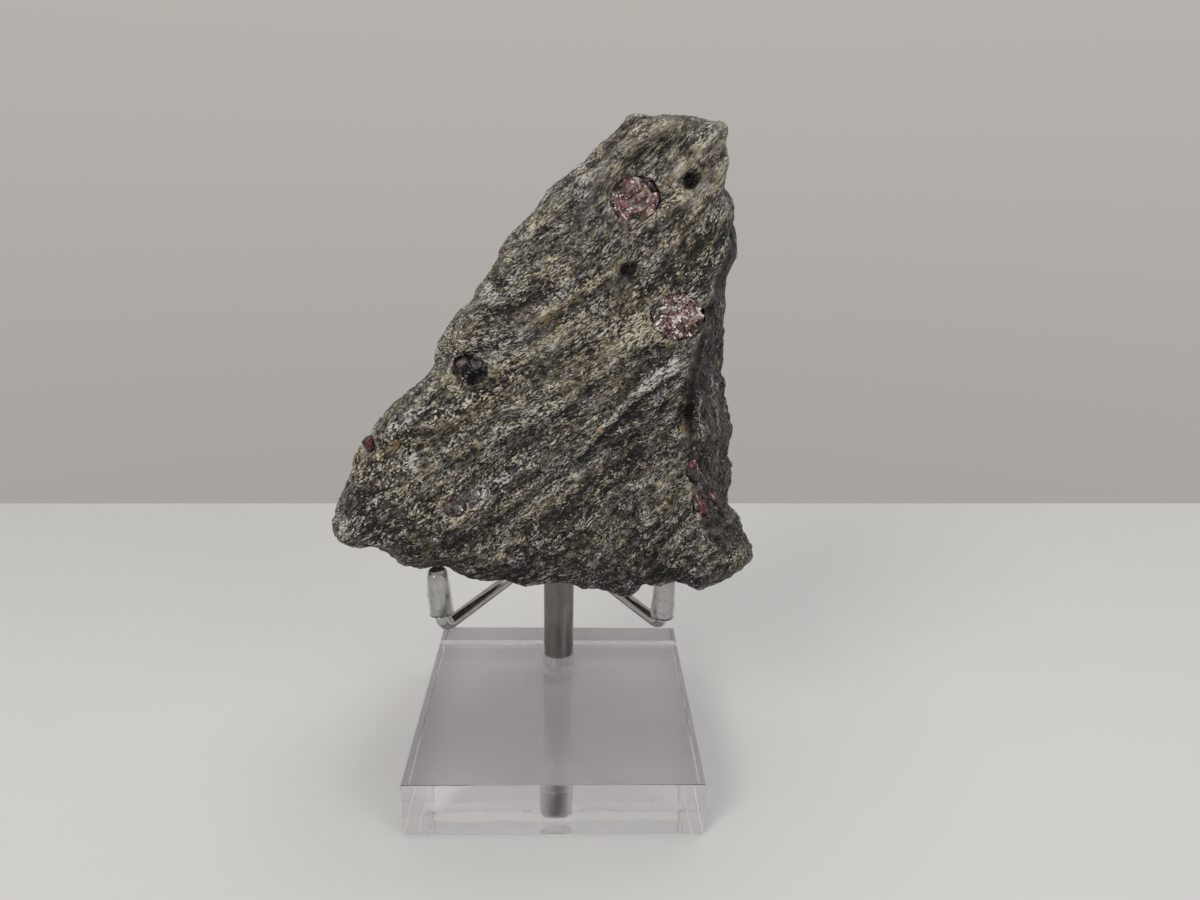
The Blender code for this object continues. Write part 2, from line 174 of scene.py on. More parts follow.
class Value:
    """One output of a node. Arithmetic on it adds Math nodes to its material."""

    def __init__(self, finish, socket):
        self.finish = finish
        self.socket = socket

    def math(self, operation, *others):
        return self.finish.node("ShaderNodeMath", {"operation": operation}, [self, *others])

    def __add__(self, other):
        return self.math("ADD", other)

    def __sub__(self, other):
        return self.math("SUBTRACT", other)

    def __mul__(self, other):
        return self.math("MULTIPLY", other)

    def __truediv__(self, other):
        return self.math("DIVIDE", other)

    def __rsub__(self, other):
        return self.finish.node("ShaderNodeMath", {"operation": "SUBTRACT"}, [other, self])

    def __neg__(self):
        return self.math("MULTIPLY", -1.0)

    def __abs__(self):
        return self.math("ABSOLUTE")

    __radd__ = __add__
    __rmul__ = __mul__

    def above(self, edge, softness):
        """0 below the edge, 1 above it, with a soft step between."""
        settings = {"interpolation_type": "SMOOTHSTEP"}
        values = {"Value": self, "From Min": edge - softness, "From Max": edge + softness}
        return self.finish.node("ShaderNodeMapRange", settings, values)

    def below(self, edge, softness):
        return 1 - self.above(edge, softness)

    def ramp(self, *stops):
        return self.finish.node("ShaderNodeValToRGB", {"stops": stops}, [self])


class Finish:
    """A material in the making."""

    def __init__(self, name):
        self.material = bpy.data.materials.new(name)
        self.material.use_nodes = True
        self.tree = self.material.node_tree
        self.tree.nodes.clear()

    def node(self, kind, settings=None, values=(), output=0):
        made = self.tree.nodes.new(kind)
        for key, setting in (settings or {}).items():
            if key == "stops":
                set_stops(made.color_ramp, setting)
            else:
                setattr(made, key, setting)
        pairs = values.items() if isinstance(values, dict) else enumerate(values)
        for key, value in pairs:
            if isinstance(value, Value):
                self.tree.links.new(value.socket, made.inputs[key])
            elif value is not None:
                made.inputs[key].default_value = value
        return Value(self, made.outputs[output])

    def place(self):
        """The point on the piece in millimetres: x, y and z."""
        coordinates = self.node("ShaderNodeTexCoord", output="Object")
        sockets = {"Vector": coordinates, "Scale": 1 / MM}
        scaled = self.node("ShaderNodeVectorMath", {"operation": "SCALE"}, sockets)
        return [self.node("ShaderNodeSeparateXYZ", values=[scaled], output=axis) for axis in range(3)]

    def vector(self, x, y, z):
        return self.node("ShaderNodeCombineXYZ", values=[x, y, z])

    def attribute(self, name):
        return self.node("ShaderNodeAttribute", {"attribute_name": name}, output="Fac")

    def noise(self, vector, detail=2.0, roughness=0.5):
        values = {"Vector": vector, "Scale": 1.0, "Detail": detail, "Roughness": roughness}
        return self.node("ShaderNodeTexNoise", values=values)

    def cells(self, vector, feature="F1", output="Color"):
        values = {"Vector": vector, "Scale": 1.0, "Randomness": 1.0}
        return self.node("ShaderNodeTexVoronoi", {"feature": feature}, values, output)

    def channel(self, colour, index):
        return self.node("ShaderNodeSeparateColor", values=[colour], output=index)

    def mix(self, factor, first, second):
        settings = {"data_type": "RGBA", "blend_type": "MIX", "clamp_result": True}
        return self.node("ShaderNodeMix", settings, {0: factor, 6: first, 7: second}, output=2)

    def tilted_normal(self, colour, amount):
        """The surface normal, tilted by a random colour times an amount."""
        away = self.node("ShaderNodeVectorMath", {"operation": "SUBTRACT"}, [colour, (0.5, 0.5, 0.5)])
        away = self.node("ShaderNodeVectorMath", {"operation": "SCALE"}, {"Vector": away, "Scale": amount})
        normal = self.node("ShaderNodeNewGeometry", output="Normal")
        tilted = self.node("ShaderNodeVectorMath", {"operation": "ADD"}, [normal, away])
        return self.node("ShaderNodeVectorMath", {"operation": "NORMALIZE"}, [tilted])

    def bump(self, height, distance, normal=None):
        """Distance is in millimetres for a height of 1."""
        values = {"Height": height, "Distance": distance * MM, "Strength": 1.0, "Normal": normal}
        return self.node("ShaderNodeBump", values=values)

    def close(self, **values):
        """Ends the material with one Principled shader, its sockets named by keywords."""
        named = {key.replace("_", " "): value for key, value in values.items()}
        shader = self.node("ShaderNodeBsdfPrincipled", values=named)
        output = self.tree.nodes.new("ShaderNodeOutputMaterial")
        self.tree.links.new(shader.socket, output.inputs["Surface"])
        return self.material


BASE_TONE = 0.428


def schist_finish():
    """Mica schist: fine grains and thin mica edges along the layers, over soft darker and lighter areas,
    some of them painted shade and highlight, with painted shade in hollows, cavities and a crack.
    """
    finish = Finish("mica schist")
    x, y, z = finish.place()
    crumbly = finish.attribute("crumbly")
    flank = finish.attribute("flank")

    # Places across the layers and along them. On the flank the layers are seen on edge and run upright.
    streaky = 1 - 0.6 * crumbly
    calm = 1 - 0.35 * z.above(97.0, 8.0) - 0.25 * flank
    broad = 0.30 + 0.42 * z.below(90.0, 8.0)
    sway = finish.noise(finish.vector(x / 7, y / 7, z / 7), 2.0) - 0.5
    curl = finish.noise(finish.vector(x / 1.7, y / 1.7, z / 1.7), 1.0) - 0.5
    across, along = foliation(x, y, z, lambda angle: angle.math("COSINE"))
    across = across + 1.8 * sway + curl * (0.15 + 0.75 * crumbly)
    across = across + flank * (1.1 * y + 0.5 * x - across)
    along = along + flank * (z - along)

    # Light and dark, from broad bands to single grains
    mottle = finish.noise(finish.vector(along / 7, across / 4.5, y / 6), 3.0, 0.6) - 0.5
    bands = finish.noise(finish.vector(along / 30, across / 4.0, y / 20), 2.0) - 0.5
    layers = finish.noise(finish.vector(along / 13, across / 2.0, y / 6), 2.0) - 0.5
    streaks = finish.noise(finish.vector(along / 5, across / 0.7, y / 3), 3.0, 0.6) - 0.5
    fibres = finish.noise(finish.vector(along / 1.6, across / 0.13, y / 0.6), 2.0, 0.7) - 0.5
    gritty = 0.55 + 0.9 * finish.noise(finish.vector(along / 5, across / 2.0, y / 4), 2.0).above(0.5, 0.16)
    strand_place = finish.vector(along / 4.0, across / 0.85, y / 1.5)
    strand = (0.060 - abs(finish.noise(strand_place, 2.0) - 0.5)).above(0.0, 0.045)
    seam_place = finish.vector(along / 5.0 + 9.0, across / 1.10, y / 2.0)
    seam = (0.045 - abs(finish.noise(seam_place, 2.0) - 0.5)).above(0.0, 0.035)
    crumbs = finish.noise(finish.vector(x / 0.21, y / 0.21, z / 0.21), 1.0) - 0.5
    grain_colour = finish.cells(finish.vector(along / 0.38, across / 0.15, y / 0.26))
    grain = finish.channel(grain_colour, 0) - 0.5
    speck = finish.channel(grain_colour, 2).above(0.90, 0.03)
    coarse = finish.channel(finish.cells(finish.vector(along / 1.4, across / 0.6, y / 0.9)), 1) - 0.5
    # Dark spots of painted shade, standing in for cavities in the crumbly places
    painted_cavity_shade = finish.noise(finish.vector(x / 1.3, y / 1.3, z / 1.3), 3.0, 0.65).above(0.60, 0.08)

    # The pale vein on the front and the painted shade of a crack under it
    front = y.below(-6.0, 2.0)
    vein_slant = (z - x * VEIN_CURVE[1] - x * x * VEIN_CURVE[2] - VEIN_CURVE[0]) / VEIN_SLOPE
    ragged = finish.noise(finish.vector(x / 0.7, y / 0.7, z / 0.7), 3.0, 0.7) - 0.5
    vein_length = x.above(VEIN_COLOUR_START, 4.0) * x.below(VEIN_ENDS[1], 0.4) * front
    vein = (x * 0.044 + 0.04 + 1.3 * ragged - abs(vein_slant)).above(0.0, 0.08) * vein_length
    crack = (0.30 + 0.6 * ragged - abs(vein_slant + 1.15)).above(0.0, 0.15) * vein_length

    drawn = broad * (bands + 0.6 * layers) + 0.30 * streaks + 0.13 * (strand - seam) * gritty
    tone = BASE_TONE + drawn * streaky + 1.14 * fibres * calm * gritty * streaky
    tone = tone + mottle * (0.36 + 0.40 * crumbly) - painted_cavity_shade * crumbly * 0.12
    fine = 0.74 * grain + (0.43 + 0.5 * crumbly) * crumbs + 0.30 * speck
    tone = tone + fine * calm * gritty + 0.12 * coarse
    # The stored tone holds painted shade and highlight; hollows get painted shade and bumps painted
    # highlight
    tone = tone + finish.attribute("shade") - 0.5 * (finish.attribute("hollow") - 0.5)
    # The crack under the vein is a line of painted shade
    tone = tone + vein * (0.22 + 0.40 * grain) - 0.36 * crack

    grey = tone.ramp(
        (0.0, (0.004, 0.0035, 0.0035)), (0.2, (0.0150, 0.0125, 0.0120)), (0.4, (0.060, 0.053, 0.0495)),
        (0.6, (0.156, 0.144, 0.133)), (0.8, (0.35, 0.33, 0.305)), (1.0, (0.62, 0.61, 0.58)),
    )
    olive = tone.ramp(
        (0.0, (0.005, 0.004, 0.003)), (0.2, (0.0175, 0.0142, 0.0110)), (0.4, (0.071, 0.058, 0.041)),
        (0.6, (0.190, 0.161, 0.109)), (0.8, (0.40, 0.352, 0.255)), (1.0, (0.64, 0.585, 0.46)),
    )
    tint = finish.noise(finish.vector(along / 9, across / 1.8, y / 6), 3.0, 0.6) - 0.5
    grain_tint = finish.channel(grain_colour, 1) - 0.5
    warmth = 0.5 + 2.4 * tint + finish.attribute("warmth") + 0.50 * grain_tint - 0.35 * vein
    colour = finish.mix(warmth.above(0.5, 0.30), grey, olive)

    # Rusty grains and mica flakes
    rust = finish.noise(finish.vector(x / 0.8, y / 0.8, z / 0.8), 1.0) + 0.12 * grain
    rust = (rust + finish.attribute("rust")).above(0.74, 0.04)
    colour = finish.mix(rust * 0.55, colour, (0.30, 0.175, 0.065, 1))

    flake_place = finish.vector(along / 0.36, across / 0.24, y / 0.30)
    flake_colour = finish.cells(flake_place)
    cluster = finish.noise(finish.vector(x / 4, y / 4, z / 4), 2.0) - 0.5
    flake = (finish.channel(flake_colour, 2) + 0.12 * cluster).above(0.970, 0.012)
    flake = flake * finish.cells(flake_place, output="Distance").below(0.45, 0.15)
    colour = finish.mix(flake * 0.8, colour, (0.68, 0.685, 0.68, 1))

    height = 0.6 * fibres + 0.4 * grain + 0.4 * streaks + (0.2 + 0.4 * crumbly) * crumbs
    height = height + 0.15 * (strand - seam)
    lean = finish.tilted_normal(grain_colour, 0.9 * flake + 0.35)
    roughness = 0.56 - 0.3 * flake - 0.3 * grain
    return finish.close(
        Base_Color=colour, Roughness=roughness, Metallic=flake * 0.5, IOR=1.36,
        Normal=finish.bump(height, 0.17, lean),
    )


# Colours of broken garnet from dark to light, and of the stony patches on it
MAROON = (
    (0.0, (0.004, 0.003, 0.003)), (0.22, (0.022, 0.007, 0.008)), (0.42, (0.085, 0.024, 0.025)),
    (0.58, (0.185, 0.080, 0.068)), (0.74, (0.37, 0.235, 0.205)), (0.88, (0.62, 0.52, 0.48)),
    (1.0, (0.94, 0.92, 0.90)),
)
RED = (
    (0.0, (0.006, 0.003, 0.003)), (0.35, (0.045, 0.011, 0.011)), (0.60, (0.135, 0.033, 0.033)),
    (0.80, (0.32, 0.12, 0.115)), (1.0, (0.80, 0.62, 0.62)),
)
PINK = (
    (0.0, (0.008, 0.005, 0.006)), (0.35, (0.038, 0.024, 0.026)), (0.55, (0.090, 0.040, 0.046)),
    (0.78, (0.40, 0.13, 0.17)), (1.0, (0.86, 0.60, 0.66)),
)
BLACK = (
    (0.0, (0.0012, 0.0012, 0.0014)), (0.40, (0.006, 0.0048, 0.005)), (0.60, (0.036, 0.029, 0.029)),
    (0.80, (0.20, 0.095, 0.115)), (1.0, (0.70, 0.50, 0.54)),
)
STONY = (
    (0.0, (0.004, 0.004, 0.004)), (0.22, (0.017, 0.015, 0.014)), (0.42, (0.062, 0.055, 0.046)),
    (0.58, (0.150, 0.136, 0.112)), (0.74, (0.33, 0.31, 0.27)), (0.88, (0.60, 0.58, 0.55)),
    (1.0, (0.94, 0.94, 0.93)),
)


def garnet_finish(name, colours, tone, cloudy, shards, chips, painted_glint_share, size, ior=1.76):
    """Broken garnet: glassy shards of many tones, fine bright cracks, painted glints, and stony grey-brown
    places.
    """
    finish = Finish(name)
    x, y, z = finish.place()
    bend = finish.noise(finish.vector(x / 0.8, y / 0.8, z / 0.8), 2.0) - 0.5
    slide = x + z
    rise = z - x
    shard_place = finish.vector(slide / (size * 2.0) + bend, y / size, rise / size - bend)
    shard_colour = finish.cells(shard_place)
    shard = finish.channel(shard_colour, 0) - 0.5
    chip_colour = finish.cells(finish.vector(slide / 0.40 + bend, y / 0.24, rise / 0.34 + bend))
    chip = finish.channel(chip_colour, 1) - 0.5
    cloud = finish.noise(finish.vector(x / 1.3, y / 1.3, z / 1.3), 3.0, 0.65) - 0.5
    light = tone + cloudy * cloud + shards * shard + chips * chip + finish.attribute("shade")
    # Painted glints: a few chips lightened towards white
    painted_glint = finish.channel(chip_colour, 2).above(1 - painted_glint_share, 0.02)
    edge = finish.cells(shard_place, "DISTANCE_TO_EDGE", "Distance")
    crack = edge.below(0.05, 0.04) * (cloud + 0.4 * chip).above(0.08, 0.08)
    seam = edge.below(0.03, 0.03)
    light = light + 0.42 * painted_glint + 0.30 * crack - 0.10 * seam
    hue = finish.noise(finish.vector(x / 0.9, y / 0.9, z / 0.9), 2.0) + finish.attribute("stony")
    hue = (hue + 0.2 * shard).above(0.62, 0.10)
    colour = finish.mix(hue, light.ramp(*colours), light.ramp(*STONY))
    lean = finish.tilted_normal(chip_colour, 0.25 + 1.2 * chips)
    return finish.close(
        Base_Color=colour, Roughness=0.12 + 0.25 * (shard + 0.5) + 0.25 * hue, IOR=ior,
        Normal=finish.bump(cloud + 0.5 * shard + 0.3 * chip, 0.10, lean),
    )


def acrylic_finish():
    """Polished clear acrylic, faintly lavender, with hairline marks, a rough drilled hole, slightly dull
    sawn sides and a frosted strip low on its back."""
    finish = Finish("clear acrylic")
    x, y, z = finish.place()
    haze = finish.noise(finish.vector(x / 7, y / 7, z / 7), 3.0)
    hairline = finish.noise(finish.vector(x / 0.25, y / 11, z / 3), 2.0).above(0.66, 0.05)
    right, back = x - POST_PLACE[0], y - POST_PLACE[1]
    distance = (right * right + back * back).math("SQRT")
    drilled = distance.below(HOLE_DIAMETER / 2 + 0.1, 0.05) * z.below(BASE_HEIGHT - 0.05, 0.03)
    swarf = finish.noise(finish.vector(x / 0.4, y / 0.4, z / 0.4), 3.0, 0.6)
    polish = 0.01 + 0.02 * haze + 0.05 * hairline
    half = BASE_WIDTH / 2
    sawn = 0.16 * abs(x).above(half - 0.02, 0.01)
    frosted = y.above(half - 0.02, 0.01) * (z + 0.6 * swarf).below(2.6, 0.2)
    colour = finish.mix(haze, (0.996, 0.985, 1.0, 1), (1.0, 0.995, 1.0, 1))
    return finish.close(
        Base_Color=colour, IOR=1.49, Transmission_Weight=1.0,
        Roughness=polish + sawn + 0.9 * frosted + drilled * (0.40 + 0.3 * swarf),
        Normal=finish.bump(haze + drilled * swarf, 0.03),
    )


def vinyl_finish():
    """Soft clear vinyl, slightly milky, with moulding waviness."""
    finish = Finish("clear vinyl")
    x, y, z = finish.place()
    wave = finish.noise(finish.vector(x / 1.6, y / 1.6, z / 4), 2.0)
    cloud = finish.noise(finish.vector(x / 0.7, y / 0.7, z / 1.5), 3.0)
    colour = finish.mix(cloud, (0.93, 0.935, 0.93, 1), (0.99, 0.99, 0.985, 1))
    return finish.close(
        Base_Color=colour, Roughness=0.02 + 0.06 * cloud, IOR=1.53, Transmission_Weight=1.0,
        Normal=finish.bump(wave, 0.04),
    )


def post_finish():
    """Dull satin rod, drawn lengthwise, a little brown."""
    finish = Finish("post steel")
    x, y, z = finish.place()
    drawn = finish.noise(finish.vector(x / 0.12, y / 0.12, z / 14), 3.0, 0.6)
    stain = finish.noise(finish.vector(x / 2.5, y / 2.5, z / 6), 3.0)
    colour = (0.3 * drawn + 0.7 * stain).ramp((0.3, (0.15, 0.135, 0.125)), (0.7, (0.30, 0.275, 0.255)))
    return finish.close(
        Base_Color=colour, Metallic=1.0, Roughness=0.26 + 0.12 * drawn + 0.08 * stain,
        Normal=finish.bump(drawn, 0.02),
    )


def wire_finish():
    """Bright drawn wire with fine lengthwise marks and small dull spots."""
    finish = Finish("wire steel")
    x, y, z = finish.place()
    mark = finish.noise(finish.vector(x / 0.5, y / 0.5, z / 0.5), 4.0, 0.7)
    dull = finish.noise(finish.vector(x / 2, y / 2, z / 2), 2.0)
    colour = (0.6 * mark + 0.4 * dull).ramp((0.3, (0.34, 0.335, 0.33)), (0.7, (0.53, 0.525, 0.515)))
    return finish.close(
        Base_Color=colour, Metallic=1.0, Roughness=0.03 + 0.09 * dull, Normal=finish.bump(mark, 0.005)
    )


def floor_finish():
    finish = Finish("pale floor")
    x, y, _ = finish.place()
    cloud = finish.noise(finish.vector(x / 60, y / 60, 0.0), 3.0)
    colour = finish.mix(cloud, (0.72, 0.715, 0.70, 1), (0.76, 0.752, 0.737, 1))
    return finish.close(Base_Color=colour, Roughness=0.55, Normal=finish.bump(cloud, 0.05))


# Stand


def finish_piece(obj, name, slot, material, *nodes):
    """Names a finished piece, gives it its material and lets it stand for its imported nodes."""
    obj.name = name
    obj.data.name = name
    obj.data.materials.clear()
    obj.data.materials.append(material)
    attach(obj, "root")
    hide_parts(*nodes)


def lathe(profile, sides=ROUND_SIDES):
    """A solid about Z: a circle drawn out from row to row of (radius, height) and capped at both ends."""
    deselect()
    radius, height = profile[0]
    bpy.ops.mesh.primitive_circle_add(vertices=sides, radius=radius * MM, location=(0, 0, height * MM))
    obj = bpy.context.active_object
    bpy.ops.object.transform_apply(location=True, rotation=True, scale=True)
    bpy.ops.object.mode_set(mode="EDIT")
    bpy.ops.mesh.select_all(action="SELECT")
    for next_radius, next_height in profile[1:]:
        rise = (0, 0, (next_height - height) * MM)
        bpy.ops.mesh.extrude_region_move(TRANSFORM_OT_translate={"value": rise})
        share = next_radius / radius
        bpy.ops.transform.resize(value=(share, share, 1), center_override=(0, 0, next_height * MM))
        radius, height = next_radius, next_height
    bpy.ops.mesh.select_all(action="SELECT")
    bpy.ops.mesh.fill_holes(sides=0)
    bpy.ops.mesh.normals_make_consistent(inside=False)
    bpy.ops.object.mode_set(mode="OBJECT")
    return obj


def settle(obj, location, rotation=None):
    """Moves a piece to its place and puts that place into its mesh."""
    deselect()
    obj.select_set(True)
    bpy.context.view_layer.objects.active = obj
    obj.location = location
    if rotation is not None:
        obj.rotation_mode = "QUATERNION"
        obj.rotation_quaternion = rotation
    bpy.ops.object.transform_apply(location=True, rotation=True, scale=True)
    obj.rotation_mode = "XYZ"


def shade_piece(obj, angle):
    deselect()
    obj.select_set(True)
    bpy.context.view_layer.objects.active = obj
    bpy.ops.object.shade_smooth_by_angle(angle=math.radians(angle))


def bent_rod(corners):
    """A round wire along the corners, each inner one bent to an arc. Corners are in millimetres."""
    deselect()
    heading = (corners[1] - corners[0]).normalized()
    bpy.ops.mesh.primitive_circle_add(
        vertices=ROUND_SIDES, radius=WIRE_DIAMETER / 2 * MM, location=corners[0] * MM,
        rotation=heading.to_track_quat("Z", "Y").to_euler(),
    )
    obj = bpy.context.active_object
    bpy.ops.object.transform_apply(location=True, rotation=True, scale=True)
    bpy.ops.object.mode_set(mode="EDIT")
    bpy.ops.mesh.select_all(action="SELECT")
    here = corners[0]
    for corner, after in zip(corners[1:], corners[2:]):
        into = (corner - here).normalized()
        out = (after - corner).normalized()
        turn = into.angle(out)
        bend_start = corner - into * WIRE_BEND * math.tan(turn / 2)
        axis = into.cross(out).normalized()
        centre = bend_start + axis.cross(into) * WIRE_BEND
        bpy.ops.mesh.extrude_region_move(TRANSFORM_OT_translate={"value": (bend_start - here) * MM})
        bpy.ops.mesh.spin(steps=12, angle=-turn, center=centre * MM, axis=axis)
        here = corner + out * WIRE_BEND * math.tan(turn / 2)
    bpy.ops.mesh.extrude_region_move(TRANSFORM_OT_translate={"value": (corners[-1] - here) * MM})
    bpy.ops.mesh.select_all(action="SELECT")
    bpy.ops.mesh.remove_doubles(threshold=1e-6)
    bpy.ops.mesh.fill_holes(sides=0)
    bpy.ops.mesh.normals_make_consistent(inside=False)
    bpy.ops.object.mode_set(mode="OBJECT")
    return obj


def wire_start(bearing):
    turn = math.radians(bearing)
    x = POST_PLACE[0] + WIRE_RING * math.cos(turn)
    y = POST_PLACE[1] + WIRE_RING * math.sin(turn)
    return Vector((x, y, WIRE_BOTTOM))


def box_middle(node):
    low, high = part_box(node)
    return (Vector(low) + Vector(high)) / 2 / MM


def make_sleeve(name, node, top, direction, material):
    """A clear cap over the wire's end. The wire fills its bore, so that it looks as thick as the cap."""
    outer = SLEEVE_DIAMETER / 2
    bore = WIRE_DIAMETER / 2 - 0.02
    profile = [(SLEEVE_PINHOLE, -SLEEVE_CAP), (bore - 0.1, -SLEEVE_CAP), (bore, -SLEEVE_CAP - 0.1)]
    profile += [(bore, -SLEEVE_LENGTH), (outer - SLEEVE_LIP, -SLEEVE_LENGTH)]
    profile += [(outer, -SLEEVE_LENGTH + SLEEVE_LIP)]
    dome = [math.radians(step * 90 / DOME_STEPS) for step in range(DOME_STEPS)]
    profile += [(outer * math.cos(turn), outer * (math.sin(turn) - 1)) for turn in dome]
    profile += [(SLEEVE_PINHOLE, -0.001)]
    obj = lathe(profile, SLEEVE_SIDES)
    settle(obj, top * MM, direction.to_track_quat("Z", "Y"))
    shade_piece(obj, 50)
    finish_piece(obj, name, "clear_vinyl", material, node)


def make_prongs(steel, vinyl):
    for side, bearing, arm_height, corner, tip in FRONT_PRONGS:
        start = wire_start(bearing)
        shoulder = Vector((start.x, start.y, arm_height))
        foot = Vector((*corner, PRONG_FOOT_HEIGHT))
        top = Vector((*tip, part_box("sleeve_" + side)[1][2] / MM))
        direction = (top - foot).normalized()
        rod = bent_rod([start, shoulder, foot, top - direction * SLEEVE_CAP])
        shade_piece(rod, 50)
        finish_piece(rod, "wire_" + side, "wire_steel", steel, "arm_" + side)
        make_sleeve("cap_" + side, "sleeve_" + side, top, direction, vinyl)
    start = wire_start(BACK_BEARING)
    shoulder = Vector((start.x, start.y, POST_TOP + WIRE_BEND))
    middle = box_middle("sleeve_back")
    direction = (middle - shoulder).normalized()
    top = middle + direction * SLEEVE_LENGTH / 2
    rod = bent_rod([start, shoulder, top - direction * SLEEVE_CAP])
    shade_piece(rod, 50)
    finish_piece(rod, "wire_back", "wire_steel", steel, "back_prong")
    make_sleeve("cap_back", "sleeve_back", top, direction, vinyl)


def make_post(steel):
    radius, socket = POST_DIAMETER / 2, SOCKET_DIAMETER / 2
    profile = [
        (POST_PINHOLE, POST_BOTTOM), (radius - POST_EDGE, POST_BOTTOM), (radius, POST_BOTTOM + POST_EDGE),
        (radius, POST_TOP - POST_EDGE), (radius - POST_EDGE / 2, POST_TOP),
        (socket, POST_TOP), (socket, SOCKET_FLOOR), (POST_PINHOLE, SOCKET_FLOOR),
    ]
    obj = lathe(profile)
    settle(obj, Vector((*POST_PLACE, 0)) * MM)
    shade_piece(obj, 40)
    finish_piece(obj, "post_rod", "post_steel", steel, "post")


def make_base(material):
    """A square block with crisp edges. It starts as a four-sided column and is turned by 45 degrees."""
    half, edge = BASE_WIDTH / 2 * math.sqrt(2), BASE_EDGE * math.sqrt(2)
    top = BASE_HEIGHT
    profile = [(half - edge, 0), (half, BASE_EDGE), (half, top - BASE_EDGE), (half - edge, top)]
    block = lathe(profile, 4)
    settle(block, (0, 0, 0), Matrix.Rotation(math.radians(45), 3, "Z").to_quaternion())
    bpy.ops.object.mode_set(mode="EDIT")
    bpy.ops.mesh.select_all(action="SELECT")
    bpy.ops.mesh.bevel(offset=TINY_EDGE * MM, segments=1)
    bpy.ops.object.mode_set(mode="OBJECT")
    hole = lathe([(HOLE_DIAMETER / 2, HOLE_FLOOR), (HOLE_DIAMETER / 2, top + DRILL_OVERSHOOT)])
    settle(hole, Vector((*POST_PLACE, 0)) * MM)
    deselect()
    block.select_set(True)
    bpy.context.view_layer.objects.active = block
    drill = block.modifiers.new("post hole", "BOOLEAN")
    drill.object = hole
    drill.solver = "EXACT"
    bpy.ops.object.modifier_apply(modifier=drill.name)
    bpy.data.objects.remove(hole)
    shade_piece(block, 15)
    finish_piece(block, "clear_block", "clear_acrylic", material, "acrylic_base")


# Rock


def merged_copy(node):
    """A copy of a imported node's mesh with its corners joined."""
    deselect()
    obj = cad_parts[node].copy()
    obj.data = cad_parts[node].data.copy()
    obj.parent = None
    for key in list(obj.keys()):
        del obj[key]
    bpy.context.scene.collection.objects.link(obj)
    obj.matrix_world = Matrix.Identity(4)
    obj.select_set(True)
    bpy.context.view_layer.objects.active = obj
    bpy.ops.object.mode_set(mode="EDIT")
    bpy.ops.mesh.select_all(action="SELECT")
    bpy.ops.mesh.remove_doubles(threshold=2e-6)
    bpy.ops.object.mode_set(mode="OBJECT")
    return obj


def apply_modifier(obj, kind, **settings):
    modifier = obj.modifiers.new(kind.lower(), kind)
    for key, value in settings.items():
        setattr(modifier, key, value)
    bpy.ops.object.modifier_apply(modifier=modifier.name)


def vein_relief(x, z):
    slant = (z - VEIN_CURVE[0] - VEIN_CURVE[1] * x - VEIN_CURVE[2] * x * x) / VEIN_SLOPE
    ends = smoothstep((x - VEIN_ENDS[0]) / 4) * smoothstep((VEIN_ENDS[1] - x) / 1.0 + 0.5)
    return ends * math.exp(-((slant / VEIN_HALF_WIDTH) ** 2))


def fine_relief(point, normal, crumbly):
    """How far the rock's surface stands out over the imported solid: thin layers, fibres and grain."""
    x, y, z = point
    across, along = foliation(x, y, z, math.cos)
    across += 1.2 * noise.noise(point / 7)
    steps = across / STEP_THICKNESS
    index = math.floor(steps)
    rise = smoothstep((steps - index) / 0.35)
    first = noise.noise(Vector((index * STEP_SEED, along / 5, y / 4)))
    second = noise.noise(Vector((index * STEP_SEED + STEP_SEED, along / 5, y / 4)))
    height = STEP_HEIGHT * (first * (1 - rise) + second * rise) * (1 - 0.5 * crumbly)
    height += FIBRE_HEIGHT * noise.noise(Vector((along / 2.0, across / 0.6, y / 1.4)))
    lumps = 0.12 * noise.noise(point / 0.55)
    lumps += 0.16 * noise.noise(point / 1.1) + 0.16 * noise.noise(point / 2.6)
    height += lumps * (1 + 1.1 * crumbly)
    if normal.y < -0.3:
        height += VEIN_HEIGHT * vein_relief(x, z)
        for pit_x, pit_z, radius, depth in PITS:
            distance = math.hypot(x - pit_x, z - pit_z) / radius
            height -= depth * smoothstep(1.3 - distance)
    return height
